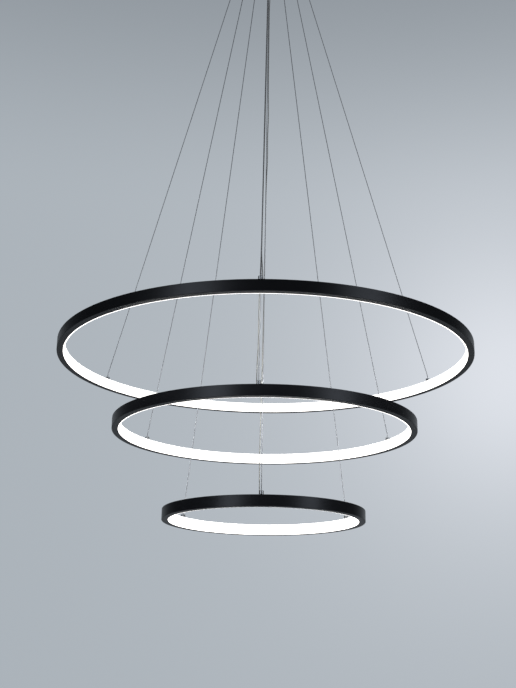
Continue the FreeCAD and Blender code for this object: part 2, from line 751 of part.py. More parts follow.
def make_release(ring, side, x, y):
    """A release tip, pushed up into its grip against a spring, with a bore for the wire."""
    bore = s.wire_radius + s.wire_clearance
    seat = -s.grip_length + s.grip_mouth
    bottom, bevel = -s.grip_length - s.tip_reach, s.stud_edge
    head_top = seat + s.tip_head_height
    corners = [
        (bore, bottom), (s.tip_radius - bevel, bottom), (s.tip_radius, bottom + bevel), (s.tip_radius, seat),
        (s.tip_head_radius, seat), (s.tip_head_radius, head_top), (bore, head_top),
    ]  # fmt: skip
    turned(f"{ring.name}_{side}_release", corners, x=x, y=y, z=pan_floor)
    outer = s.tip_head_radius - s.tip_clearance
    inner = outer - s.spring_wall
    roof = -s.grip_roof
    spring = [(inner, head_top), (outer, head_top), (outer, roof), (inner, roof)]
    turned(f"{ring.name}_{side}_spring", spring, x=x, y=y, z=pan_floor)


def make_glands():
    """Three cable glands with their nuts, each beside a front grip."""
    barrel, length, thread = s.gland_radius, s.gland_length, s.gland_thread_radius
    bore, top, bevel = s.cable_radius + s.wire_clearance, s.gland_thread_length, s.stud_edge
    corners = [
        (bore, -length), (barrel - bevel, -length), (barrel, -length + bevel), (barrel, ZERO),
        (thread, ZERO), (thread, top), (bore, top),
    ]  # fmt: skip
    body = turned("cable_gland", corners)
    places = [spot(x, y, pan_floor) for x, y in gland_places()]
    copies("cable_glands", body, places)
    nut = hexagon_nut(
        "cable_gland_nut", s.gland_nut_flats, s.gland_nut_height, thread + s.thread_clearance,
        z=s.canopy_wall,
    )  # fmt: skip
    copies("cable_gland_nuts", nut, places)


# ---------------------------------------------------------------- all of it


def node_names():
    """The label of every sub-part that is a piece of the light."""
    names = [
        "ceiling_bracket", "canopy_pan", "canopy_side_screws", "terminal_block", "earth_screw",
        "driver_pads", "wire_grip_bodies", "wire_grip_nuts", "cable_glands", "cable_gland_nuts",
    ]  # fmt: skip
    for ring in RINGS:
        for piece in (
            "driver", "housing", "diffuser", "led_strip", "leds", "wire_studs", "stud_nuts", "wires",
            "power_cable",
        ):  # fmt: skip
            names.append(f"{ring.name}_{piece}")
        for side in SIDES:
            names.append(f"{ring.name}_{side}_release")
            names.append(f"{ring.name}_{side}_spring")
    return names


def build():
    studs, nuts = make_stud_master(), make_stud_nut_master()
    for ring in RINGS:
        make_housing(ring)
        make_diffuser(ring)
        make_led_strip(ring)
        make_leds(ring)
        make_studs(ring, studs, nuts)
        make_wires(ring)
        make_cable(ring)
        make_driver(ring)
    for ring, side, x, y in grip_places():
        make_release(ring, side, x, y)
    make_bracket()
    make_pan()
    make_screws()
    make_terminal_block()
    make_driver_pads()
    make_grips()
    make_glands()
    DOC.recompute()


def write_steps():
    """Stop on any failed object, then write each piece to its own file."""
    failed = [o.Label for o in DOC.Objects if {"Invalid", "Error"} & set(o.State)]
    if failed:
        raise ValueError(f"failed objects: {failed}")
    pieces = {name: DOC.getObjectsByLabel(name)[0] for name in node_names()}
    for name, piece in pieces.items():
        if piece.Shape.isNull() or not piece.Shape.isValid() or not piece.Shape.Solids:
            raise ValueError(f"{name} has no valid solid")
    os.makedirs("parts", exist_ok=True)
    for name, piece in pieces.items():
        piece.Shape.exportStep(f"parts/{name}.step")
    print(f"{len(pieces)} pieces written")


build()
write_steps()
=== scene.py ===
import math

import bmesh
import bpy
from bpy.props import FloatProperty, FloatVectorProperty, IntProperty, PointerProperty, StringProperty
from mathutils import Matrix, Vector


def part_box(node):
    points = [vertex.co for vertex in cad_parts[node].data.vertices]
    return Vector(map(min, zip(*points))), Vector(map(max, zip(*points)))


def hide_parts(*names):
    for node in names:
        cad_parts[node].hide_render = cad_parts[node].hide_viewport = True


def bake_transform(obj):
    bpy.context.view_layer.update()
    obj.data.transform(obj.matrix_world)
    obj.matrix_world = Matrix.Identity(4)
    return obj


bl_info = {
    "name": "Ring Chandelier",
    "version": (1, 0, 0),
    "blender": (4, 5, 0),
    "location": "View3D > Sidebar > Chandelier",
    "description": "Dresses a tiered LED ring light: suspension wires, power cables, finishes and a plain studio",
    "category": "Object",
}

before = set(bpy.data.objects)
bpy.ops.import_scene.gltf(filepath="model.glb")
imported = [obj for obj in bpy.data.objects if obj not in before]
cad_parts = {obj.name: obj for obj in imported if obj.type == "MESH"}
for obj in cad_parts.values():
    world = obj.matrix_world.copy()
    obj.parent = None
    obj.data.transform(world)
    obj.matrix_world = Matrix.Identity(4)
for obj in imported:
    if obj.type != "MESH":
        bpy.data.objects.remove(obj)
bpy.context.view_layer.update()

RINGS = ("large_ring", "middle_ring", "small_ring")
SIDES = {"front": -90, "right": 30, "left": 150}

# Suspension wires, in metres: the circle on which a ring's wires leave the canopy, the circle of its studs,
# the height where a wire turns down into its stud, the height of its lower end, its length, and the degrees
# by which the ring hangs turned.
WIRES = {
    "large_ring": (0.084, 0.394, -0.950, -0.9585, 0.9769, 0),
    "middle_ring": (0.056, 0.283, -1.092, -1.1005, 1.0912, -0.83),
    "small_ring": (0.028, 0.183, -1.258, -1.2665, 1.2425, 0),
}
WIRE_TOP = -0.034
WIRE_TURNS = -0.061

# Power cables: the route's points in metres and the cable's length. Each hangs under its ring's front wire.
CABLES = {
    "large_ring": (
        [
            (0.0140, -0.0840, -0.0340),
            (0.0140, -0.0840, -0.0550),
            (0.0009, -0.1162, -0.1594),
            (0.0009, -0.1524, -0.2633),
            (0.0009, -0.2526, -0.5506),
            (0.0006, -0.3673, -0.8794),
            (0.0006, -0.3797, -0.9151),
            (0.0034, -0.3940, -0.9500),
            (0.0034, -0.3940, -0.9680),
        ],
        0.9866,
    ),
    "middle_ring": (
        [
            (0.0132, -0.0562, -0.0340),
            (0.0132, -0.0562, -0.0550),
            (-0.0002, -0.0768, -0.1645),
            (-0.0006, -0.1009, -0.2741),
            (-0.0014, -0.1562, -0.5254),
            (-0.0038, -0.2220, -0.8244),
            (-0.0065, -0.2492, -0.9481),
            (-0.0058, -0.2662, -1.0254),
            (-0.0074, -0.2753, -1.0667),
            (-0.0075, -0.2829, -1.0920),
            (-0.0075, -0.2829, -1.1100),
        ],
        1.1012,
    ),
    "small_ring": (
        [
            (0.0140, -0.0280, -0.0340),
            (0.0140, -0.0280, -0.0550),
            (0.0016, -0.0400, -0.1690),
            (0.0017, -0.0548, -0.2833),
            (0.0018, -0.0725, -0.4204),
            (0.0033, -0.0806, -0.4826),
            (0.0017, -0.0877, -0.5377),
            (0.0027, -0.0945, -0.5903),
            (0.0005, -0.1012, -0.6418),
            (-0.0002, -0.1190, -0.7795),
            (-0.0008, -0.1345, -0.8992),
            (-0.0016, -0.1500, -1.0189),
            (-0.0028, -0.1624, -1.1146),
            (-0.0042, -0.1740, -1.2044),
            (-0.0034, -0.1830, -1.2580),
            (-0.0034, -0.1830, -1.2760),
        ],
        1.2526,
    ),
}

# Faces round a wire and a cable, steps between two points of a route, and the turn in radians below which a
# route counts as straight.
WIRE_SIDES = 10
CABLE_SIDES = 12
ROUTE_STEPS = 20
STRAIGHT = 1e-4

# The studio, in metres. Each side softbox has its turn about the middle in degrees and its share of the power.
MIDDLE = (0, 0, -1.1)
SOFTBOXES = {"softbox_left": (-124, 1.0), "softbox_right": (-38, 0.87)}
SOFTBOX_REACH = (3.0, 0, 0.55)
SOFTBOX_SIZE = (1.1, 1.7)
SOFTBOX_TINT = (0.78, 0.86, 1.0)
OVERHEAD_PLACE = (0.4, 0.6, 2.6)
OVERHEAD_SIZE = (3.0, 3.0)
SPILL_LAMPS = 12
SPILL_REACH = 0.96
BRIGHT_WAY = (0.216, 0.966, 0.282)
BRIGHT_SPREAD = 0.0204
LEAST_COSINE = 0.02
FLOOR_HEIGHT = -2.6
FLOOR_RADIUS = 8.0
FLOOR_FADES = (2.5, 7.5)


# ---------------------------------------------------------------- what a user would change


def length(name, description, default):
    """Return a length property, in metres."""
    return FloatProperty(name=name, description=description, default=default, unit="LENGTH", precision=5)


def colour(name, description, default):
    """Return a colour property, as an sRGB hex value."""
    return StringProperty(name=name, description=description, default=default)


def level(name, description, default):
    """Return a brightness or power property."""
    return FloatProperty(name=name, description=description, default=default, min=0.0)


class ChandelierSizes(bpy.types.PropertyGroup):
    """Diameters and surface grains, in metres."""

    wire_diameter: length("Wire", "Diameter of a suspension wire", 0.0015)
    wire_lay: length("Wire lay", "Length in which a strand of the wire turns once", 0.009)
    wire_strands: IntProperty(
        name="Wire strands", description="Strands in the outer layer of the wire", default=6, min=3
    )
    cable_diameter: length("Cable", "Diameter of a power cable", 0.0016)
    peel: length("Coat texture", "Width of a dimple in the powder coat", 0.0012)
    tool_feed: length("Tool feed", "Spacing of the turning marks on turned pieces", 0.0003)
    mould_grain: length("Mould grain", "Grain of moulded plastic", 0.0007)


class ChandelierColours(bpy.types.PropertyGroup):
    """Colours as sRGB hex values, and how brightly the rings glow."""

    coat: colour("Powder coat", "Coat of the rings and the canopy", "#0A0B0D")
    # Painted highlight: the coat is drawn lighter on the tops of its orange peel.
    coat_painted_highlight: colour("Coat highs", "Tops of the coat's texture", "#131418")
    opal: colour("Diffuser", "Opal plastic of the diffusers", "#B4B4B1")
    glow: colour("Glow", "Light of the LED strips through the diffusers", "#FFFEFC")
    glow_warm: colour("Warm glow", "Light where the diffusers glow a touch warmer", "#FFF6EF")
    glow_strength: level("Glow strength", "Brightness of the diffusers", 1.25)
    # Painted light: extra glow on the diffusers' up- and down-facing lips, standing in for light the inner face
    # gets from the spill lamps.
    lip_painted_glow_strength: level("Lip strength", "Brightness of the diffusers' upper and lower lips", 3.2)
    nickel: colour("Nickel plate", "Studs, grips, glands and screws", "#A3A3A1")
    zinc: colour("Zinc plate", "Bracket, nuts and springs", "#A3A7AB")
    zinc_bloom: colour("Zinc bloom", "Duller patches of the zinc plate", "#8B8F94")
    wire: colour("Steel wire", "Suspension wires", "#8E9094")
    # Painted shade: the colour drawn between a wire's strands, where shade falls.
    wire_groove_painted_shade: colour("Wire grooves", "Between the strands of a wire", "#484A4D")
    jacket: colour("Cable jacket", "Smoky clear jacket of the power cables", "#787872")
    core: colour("Cable cores", "Cores under the jacket", "#4C4C49")
    case: colour("Driver case", "Moulded case of the LED drivers", "#E4E3DE")
    nylon: colour("Terminal block", "Natural nylon", "#D9D4C2")
    film: colour("Circuit film", "Solder mask of the LED strips", "#E6E6E1")
    phosphor: colour("Phosphor", "Phosphor of the LEDs", "#E3BE4E")
    foam: colour("Foam tape", "Pads under the drivers", "#1B1B1C")
    backdrop: colour("Backdrop", "Backdrop away from its bright patch", "#A8B0B7")
    backdrop_bright: colour("Bright patch", "Bright patch of the backdrop", "#DEE2E9")
    backdrop_top: colour("Backdrop top", "Backdrop high up", "#8B9299")
    floor: colour("Floor", "Studio floor", "#B7BDC3")


class ChandelierStage(bpy.types.PropertyGroup):
    """Camera and lamps."""

    camera_place: FloatVectorProperty(
        name="Camera",
        description="Place of the camera",
        default=(0.0431, -1.9588, -1.5717),
        subtype="XYZ",
        unit="LENGTH",
    )
    camera_turn: FloatProperty(
        name="Turn", description="Camera's turn to the left", default=math.radians(1.683), subtype="ANGLE"
    )
    camera_pitch: FloatProperty(
        name="Pitch", description="How far the camera looks up", default=math.radians(17.80), subtype="ANGLE"
    )
    camera_roll: FloatProperty(
        name="Roll", description="Camera's roll to the left", default=math.radians(0.765), subtype="ANGLE"
    )
    lens: FloatProperty(
        name="Lens", description="Focal length on a 36 mm long side", default=54.995, unit="CAMERA"
    )
    softbox_power: level("Softboxes", "Power of each side softbox in watts", 18.0)
    overhead_power: level("Overhead", "Power of the overhead softbox in watts", 26.0)
    ambient: level("Ambient", "Even light from all around", 0.42)
    room: level("Room", "Brightness of the room behind the camera in reflections", 0.06)
    spill: level("Spill", "Light that the diffusers throw inward, in watts per square metre", 120.0)


# ---------------------------------------------------------------- helpers


def linear(hex_colour):
    """Return the linear colour of an sRGB hex value."""
    parts = (int(hex_colour[i : i + 2], 16) / 255 for i in (1, 3, 5))
    return (*(c / 12.92 if c <= 0.04045 else ((c + 0.055) / 1.055) ** 2.4 for c in parts), 1)


def set_inputs(tree, node, inputs):
    """Link or set a node's inputs."""
    for socket, value in inputs.items():
        if isinstance(value, bpy.types.NodeSocket):
            tree.links.new(value, node.inputs[socket])
        else:
            node.inputs[socket].default_value = value


def add_node(tree, kind, inputs=None, **settings):
    """Add a node with its settings, its input values and its links."""
    made = tree.nodes.new(kind)
    for name, value in settings.items():
        setattr(made, name, value)
    set_inputs(tree, made, inputs or {})
    return made


def coordinates(tree, kind="Object"):
    """Return texture coordinates."""
    return add_node(tree, "ShaderNodeTexCoord").outputs[kind]


def noise(tree, place, size, detail, roughness=0.5):
    """Return noise with features of a size in metres."""
    inputs = {"Vector": place, "Scale": 1 / size, "Detail": detail, "Roughness": roughness}
    return add_node(tree, "ShaderNodeTexNoise", inputs).outputs["Fac"]


def ranged(tree, value, start=0.0, end=1.0, low=0.0, high=1.0, **settings):
    """Return a value brought from the range start to end into the range low to high."""
    inputs = {"Value": value, "From Min": start, "From Max": end, "To Min": low, "To Max": high}
    return add_node(tree, "ShaderNodeMapRange", inputs, **settings).outputs[0]


def maths(tree, operation, *values):
    """Return the result of a calculation."""
    return add_node(tree, "ShaderNodeMath", dict(enumerate(values)), operation=operation).outputs[0]


def mixed(tree, share, first, second):
    """Return a mix of two colours."""
    inputs = {"Factor": share, "A": first, "B": second}
    return add_node(tree, "ShaderNodeMix", inputs, data_type="RGBA").outputs["Result"]


def relief(tree, pattern, strength, depth):
    """Return the normal of a surface with a pattern of a depth in metres."""
    inputs = {"Height": pattern, "Strength": strength, "Distance": depth}
    return add_node(tree, "ShaderNodeBump", inputs).outputs[0]


def new_material(name):
    """Return an empty material, its tree and its surface shader."""
    made = bpy.data.materials.new(name)
    made.use_nodes = True
    return made, made.node_tree, made.node_tree.nodes["Principled BSDF"]


def dress(material, *nodes):
    """Give CAD nodes a material."""
    for node in nodes:
        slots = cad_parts[node].data.materials
        slots.clear()
        slots.append(material)


def spline_line(points):
    """Return the smooth line that a route's points steer, without the points inside a straight stretch."""
    curve = bpy.data.curves.new("route", "CURVE")
    curve.dimensions = "3D"
    curve.resolution_u = ROUTE_STEPS
    spline = curve.splines.new("NURBS")
    spline.points.add(len(points) - 1)
    for control, point in zip(spline.points, points):
        control.co = (*point, 1)
    spline.order_u = 3
    spline.use_endpoint_u = True
    holder = bpy.data.objects.new("route", curve)
    sampled = bpy.data.meshes.new_from_object(holder)
    line = [vertex.co.copy() for vertex in sampled.vertices]
    bpy.data.objects.remove(holder)
    bpy.data.curves.remove(curve)
    bpy.data.meshes.remove(sampled)
    kept = [line[0]]
    for here, after in zip(line[1:], line[2:]):
        if (here - kept[-1]).angle(after - here) > STRAIGHT:
            kept.append(here)
    return kept + [line[-1]]


def tube_piece(name, line, diameter, sides, material):
    """Return a closed tube along a line. Its UV map gives metres along it and the share of a turn round it."""
    tube = bmesh.new()
    uv = tube.loops.layers.uv.new("along")
    ways = [(b - a).normalized() for a, b in zip(line, line[1:])]
    tangents = [ways[0]] + [(a + b).normalized() for a, b in zip(ways, ways[1:])] + [ways[-1]]
    across = tangents[0].orthogonal().normalized()
    rings, along, travelled = [], [], 0.0
    for i, (point, tangent) in enumerate(zip(line, tangents)):
        if i:
            across = tangents[i - 1].rotation_difference(tangent) @ across
            travelled += (point - line[i - 1]).length
        other = tangent.cross(across)
        rings.append([
            tube.verts.new(point + (across * math.cos(a) + other * math.sin(a)) * diameter / 2)
            for a in (math.tau * k / sides for k in range(sides))
        ])
        along.append(travelled)
    for i, (low, high) in enumerate(zip(rings, rings[1:])):
        for k in range(sides):
            face = tube.faces.new((low[k], low[(k + 1) % sides], high[(k + 1) % sides], high[k]))
            face.smooth = True
            corners = ((along[i], k), (along[i], k + 1), (along[i + 1], k + 1), (along[i + 1], k))
            for loop, (metres, turn) in zip(face.loops, corners):
                loop[uv].uv = (metres, turn / sides)
    tube.faces.new(reversed(rings[0]))
    tube.faces.new(rings[-1])
    mesh = bpy.data.meshes.new(name)
    tube.to_mesh(mesh)
    tube.free()
    mesh.materials.append(material)
    piece = bpy.data.objects.new(name, mesh)
    bpy.context.scene.collection.objects.link(piece)
    return piece


def wire_points(ring, side):
    """Return the six points of a suspension wire's route, from its grip to its stud."""
    leaves, studs, turns, ends, _, turned = WIRES[ring]
    angle = math.radians(SIDES[side] + turned)
    out = Vector((math.cos(angle), math.sin(angle), 0))
    upper = out * leaves + Vector((0, 0, WIRE_TURNS))
    lower = out * studs + Vector((0, 0, turns))
    way = (lower - upper).normalized()
    return [
        out * leaves + Vector((0, 0, WIRE_TOP)),
        upper,
        upper + way * (WIRE_TOP - WIRE_TURNS),
        lower - way * (turns - ends),
        lower,
        out * studs + Vector((0, 0, ends)),
    ]


def follow_ring(piece):
    """Bake a wire or cable's place into its mesh."""
    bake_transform(piece)


# ---------------------------------------------------------------- finishes


def powder_coated(name, colours, sizes):
    """Polyester powder coat, sprayed on and baked: satin black, a fine orange peel with painted highlights on its
    tops, and a faint drift in gloss.
    """
    made, tree, surface = new_material(name)
    place = coordinates(tree)
    peel = noise(tree, place, size=sizes.peel, detail=2.0, roughness=0.45)
    drift = noise(tree, place, size=0.07, detail=3.0)
    # Painted highlight: the colour turns lighter where the peel rises, following the same noise as the bump.
    painted_highlight_mottle = ranged(tree, peel, start=0.4, end=0.75)
    set_inputs(tree, surface, {
        "Base Color": mixed(tree, painted_highlight_mottle, linear(colours.coat), linear(colours.coat_painted_highlight)),
        "Roughness": ranged(tree, drift, low=0.3, high=0.38),
        "Normal": relief(tree, peel, strength=0.35, depth=0.00004),
        "Specular IOR Level": 0.3,
    })
    return made


def opal_acrylic(colours):
    """Extruded opal acrylic with the LED strip glowing through it: even white, with painted extra glow on its
    upper and lower lips, picked by which way a face points.
    """
    made, tree, surface = new_material("extruded_opal_acrylic")
    place = coordinates(tree)
    drift = noise(tree, place, size=0.033, detail=1.0)
    grain = noise(tree, place, size=0.0006, detail=2.0)
    normal = add_node(tree, "ShaderNodeNewGeometry").outputs["Normal"]
    upright = add_node(tree, "ShaderNodeSeparateXYZ", {"Vector": normal}).outputs["Z"]
    # Painted light: faces that point up or down glow brighter than the sides.
    lips = maths(tree, "ABSOLUTE", upright)
    set_inputs(tree, surface, {
        "Base Color": linear(colours.opal),
        "Roughness": ranged(tree, grain, low=0.42, high=0.58),
        "Normal": relief(tree, grain, strength=0.2, depth=0.00003),
        "Emission Color": mixed(tree, drift, linear(colours.glow), linear(colours.glow_warm)),
        "Emission Strength": ranged(tree, lips, low=colours.glow_strength, high=colours.lip_painted_glow_strength),
    })
    return made


def turned_nickel(colours, sizes):
    """Turned and nickel-plated: bright, with rings from the tool that stretch the highlights round the barrel.

    The real marks are about 0.1 mm apart, too fine to show, and are drawn coarser.
    """
    made, tree, surface = new_material("turned_nickel_plate")
    place = coordinates(tree)
    # A wave texture of scale 1 has a band every pi / 10 metres.
    rings = add_node(
        tree,
        "ShaderNodeTexWave",
        {"Vector": place, "Scale": math.pi / (10 * sizes.tool_feed), "Distortion": 0.4, "Detail": 1.0},
        bands_direction="Z",
    )
    wipe = noise(tree, place, size=0.003, detail=3.0)
    set_inputs(tree, surface, {
        "Base Color": linear(colours.nickel),
        "Metallic": 1.0,
        "Roughness": ranged(tree, wipe, low=0.18, high=0.34),
        "Normal": relief(tree, rings.outputs["Fac"], strength=0.25, depth=0.00001),
    })
    return made


def zinc_plated(colours):
    """Pressed steel, zinc-plated in a barrel: blue-grey, clouded, with small dull patches."""
    made, tree, surface = new_material("zinc_plated_steel")
    place = coordinates(tree)
    cloud = noise(tree, place, size=0.012, detail=5.0, roughness=0.6)
    grit = noise(tree, place, size=0.0008, detail=2.0)
    set_inputs(tree, surface, {
        "Base Color": mixed(tree, cloud, linear(colours.zinc), linear(colours.zinc_bloom)),
        "Metallic": 1.0,
        "Roughness": ranged(tree, cloud, low=0.3, high=0.55),
        "Normal": relief(tree, grit, strength=0.2, depth=0.00003),
    })
    return made


def steel_rope(colours, sizes):
    """Fine steel rope: strands laid in a steep spiral, with painted shade darkening their grooves and their backs
    left bright.

    Its single wires are too fine to draw. They scatter light, so the rope is only partly a mirror.
    """
    made, tree, surface = new_material("stranded_steel_rope")
    parts = add_node(tree, "ShaderNodeSeparateXYZ", {"Vector": coordinates(tree, "UV")})
    lay = maths(tree, "MULTIPLY_ADD", parts.outputs["X"], 1 / sizes.wire_lay, parts.outputs["Y"])
    strand = maths(tree, "MULTIPLY", lay, math.pi * sizes.wire_strands)
    # The strand pattern gives the bump of the strands and also painted shade: dark in the grooves, light on the
    # backs.
    back = maths(tree, "ABSOLUTE", maths(tree, "SINE", strand))
    set_inputs(tree, surface, {
        "Base Color": mixed(tree, back, linear(colours.wire_groove_painted_shade), linear(colours.wire)),
        "Metallic": 0.55,
        "Roughness": 0.7,
        "Normal": relief(tree, back, strength=0.4, depth=0.0001),
    })
    return made


def clear_flex(colours):
    """Extruded soft vinyl, smoky clear: satin, with its two cores showing through as darker lines."""
    made, tree, surface = new_material("extruded_smoky_vinyl")
    parts = add_node(tree, "ShaderNodeSeparateXYZ", {"Vector": coordinates(tree, "UV")})
    turn = maths(tree, "MULTIPLY", parts.outputs["Y"], math.tau)
    cores = maths(tree, "ABSOLUTE", maths(tree, "COSINE", turn))
    edge = ranged(tree, cores, start=0.45, end=0.8, interpolation_type="SMOOTHSTEP")
    ripple = add_node(
        tree,
        "ShaderNodeTexNoise",
        {"W": parts.outputs["X"], "Scale": 1 / 0.004, "Detail": 1.0},
        noise_dimensions="1D",
    )
    set_inputs(tree, surface, {
        "Base Color": mixed(tree, edge, linear(colours.jacket), linear(colours.core)),
        "Roughness": 0.55,
        "Specular IOR Level": 0.3,
        "Normal": relief(tree, ripple.outputs["Fac"], strength=0.2, depth=0.0001),
    })
    return made


def moulded(name, hex_colour, grain, roughness):
    """Injection-moulded plastic: one colour through, with the mould's fine spark-eroded grain.

    The real grain is about 0.1 mm wide, too fine to show, and is drawn coarser.
    """
    made, tree, surface = new_material(name)
    place = coordinates(tree)
    pits = noise(tree, place, size=grain, detail=3.0)
    flow = ranged(tree, noise(tree, place, size=0.02, detail=2.0), low=0.94, high=1.05)
    shade = add_node(tree, "ShaderNodeHueSaturation", {"Color": linear(hex_colour), "Value": flow})
    set_inputs(tree, surface, {
        "Base Color": shade.outputs[0],
        "Roughness": ranged(tree, pits, low=roughness - 0.06, high=roughness + 0.06),
        "Normal": relief(tree, pits, strength=0.4, depth=0.00004),
    })
    return made


def closed_cell_foam(colours):
    """Closed-cell foam tape, cut from a roll: matt, with small cells."""
    made, tree, surface = new_material("closed_cell_foam")
    cells = add_node(tree, "ShaderNodeTexVoronoi", {"Vector": coordinates(tree), "Scale": 1 / 0.0005})
    set_inputs(tree, surface, {
        "Base Color": linear(colours.foam),
        "Roughness": 0.9,
        "Normal": relief(tree, cells.outputs["Distance"], strength=0.8, depth=0.0001),
    })
    return made


# ---------------------------------------------------------------- pieces


class CHANDELIER_OT_camera(bpy.types.Operator):
    """Place the camera below the rings, looking up at them"""

    bl_idname = "chandelier.camera"
    bl_label = "Camera"

    def execute(self, context):
        stage = context.scene.chandelier_stage
        lens = bpy.data.cameras.new("camera")
        lens.lens = stage.lens
        lens.sensor_width = 36
        camera = bpy.data.objects.new("camera", lens)
        camera.matrix_world = (
            Matrix.Translation(stage.camera_place)
            @ Matrix.Rotation(stage.camera_turn, 4, "Z")
            @ Matrix.Rotation(math.pi / 2 + stage.camera_pitch, 4, "X")
            @ Matrix.Rotation(stage.camera_roll, 4, "Z")
        )
        context.scene.collection.objects.link(camera)
        context.scene.camera = camera
        return {"FINISHED"}


class CHANDELIER_OT_wires(bpy.types.Operator):
    """String each ring's three suspension wires from their grips to their studs"""

    bl_idname = "chandelier.wires"
    bl_label = "Suspension wires"

    def execute(self, context):
        sizes, colours = context.scene.chandelier_sizes, context.scene.chandelier_colours
        steel = steel_rope(colours, sizes)
        for ring in RINGS:
            for side in SIDES:
                points = wire_points(ring, side)
                line = spline_line(points)
                wire = tube_piece(f"{ring}_{side}_wire", line, sizes.wire_diameter, WIRE_SIDES, steel)
                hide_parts(f"{ring}_wires")
                follow_ring(wire)
        return {"FINISHED"}


class CHANDELIER_OT_cables(bpy.types.Operator):
    """Hang each ring's power cable under its front wire"""

    bl_idname = "chandelier.cables"
    bl_label = "Power cables"

    def execute(self, context):
        sizes, colours = context.scene.chandelier_sizes, context.scene.chandelier_colours
        vinyl = clear_flex(colours)
        for ring, (route, cable_length) in CABLES.items():
            points = [Vector(point) for point in route]
            line = spline_line(points)
            cable = tube_piece(f"{ring}_cable", line, sizes.cable_diameter, CABLE_SIDES, vinyl)
            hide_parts(f"{ring}_power_cable")
            follow_ring(cable)
        return {"FINISHED"}


class CHANDELIER_OT_housings(bpy.types.Operator):
    """Finish the rings' aluminium channels"""

    bl_idname = "chandelier.housings"
    bl_label = "Ring housings"

    def execute(self, context):
        sizes, colours = context.scene.chandelier_sizes, context.scene.chandelier_colours
        dress(powder_coated("powder_coated_aluminium", colours, sizes), *(f"{ring}_housing" for ring in RINGS))
        return {"FINISHED"}


class CHANDELIER_OT_diffusers(bpy.types.Operator):
    """Finish and light the rings' diffusers"""

    bl_idname = "chandelier.diffusers"
    bl_label = "Diffusers"

    def execute(self, context):
        dress(opal_acrylic(context.scene.chandelier_colours), *(f"{ring}_diffuser" for ring in RINGS))
        return {"FINISHED"}


class CHANDELIER_OT_strips(bpy.types.Operator):
    """Finish the LED strips and their LEDs"""

    bl_idname = "chandelier.strips"
    bl_label = "LED strips"

    def execute(self, context):
        colours = context.scene.chandelier_colours
        film = moulded("printed_circuit_film", colours.film, grain=0.0004, roughness=0.4)
        phosphor = moulded("cast_silicone_phosphor", colours.phosphor, grain=0.0003, roughness=0.5)
        dress(film, *(f"{ring}_led_strip" for ring in RINGS))
        dress(phosphor, *(f"{ring}_leds" for ring in RINGS))
        return {"FINISHED"}


class CHANDELIER_OT_plated(bpy.types.Operator):
    """Finish the studs, grips, release tips, glands and side screws"""

    bl_idname = "chandelier.plated"
    bl_label = "Plated fittings"

    def execute(self, context):
        nickel = turned_nickel(context.scene.chandelier_colours, context.scene.chandelier_sizes)
        dress(nickel, "wire_grip_bodies", "cable_glands", "canopy_side_screws")
        for ring in RINGS:
            dress(nickel, f"{ring}_wire_studs", *(f"{ring}_{side}_release" for side in SIDES))
        return {"FINISHED"}


class CHANDELIER_OT_canopy(bpy.types.Operator):
    """Finish the canopy pan"""

    bl_idname = "chandelier.canopy"
    bl_label = "Canopy pan"

    def execute(self, context):
        sizes, colours = context.scene.chandelier_sizes, context.scene.chandelier_colours
        dress(powder_coated("powder_coated_steel", colours, sizes), "canopy_pan")
        return {"FINISHED"}


class CHANDELIER_OT_fixings(bpy.types.Operator):
    """Finish the bracket, nuts, springs and earth screw"""

    bl_idname = "chandelier.fixings"
    bl_label = "Bracket and nuts"

    def execute(self, context):
        zinc = zinc_plated(context.scene.chandelier_colours)
        dress(zinc, "ceiling_bracket", "earth_screw", "wire_grip_nuts", "cable_gland_nuts")
        for ring in RINGS:
            dress(zinc, f"{ring}_stud_nuts", *(f"{ring}_{side}_spring" for side in SIDES))
        return {"FINISHED"}


class CHANDELIER_OT_electrics(bpy.types.Operator):
    """Finish the LED drivers, their pads and the terminal block"""

    bl_idname = "chandelier.electrics"
    bl_label = "Drivers and terminals"

    def execute(self, context):
        sizes, colours = context.scene.chandelier_sizes, context.scene.chandelier_colours
        case = moulded("moulded_polycarbonate", colours.case, sizes.mould_grain, roughness=0.5)
        dress(case, *(f"{ring}_driver" for ring in RINGS))
        dress(moulded("moulded_nylon", colours.nylon, sizes.mould_grain, roughness=0.42), "terminal_block")
        dress(closed_cell_foam(colours), "driver_pads")
        return {"FINISHED"}


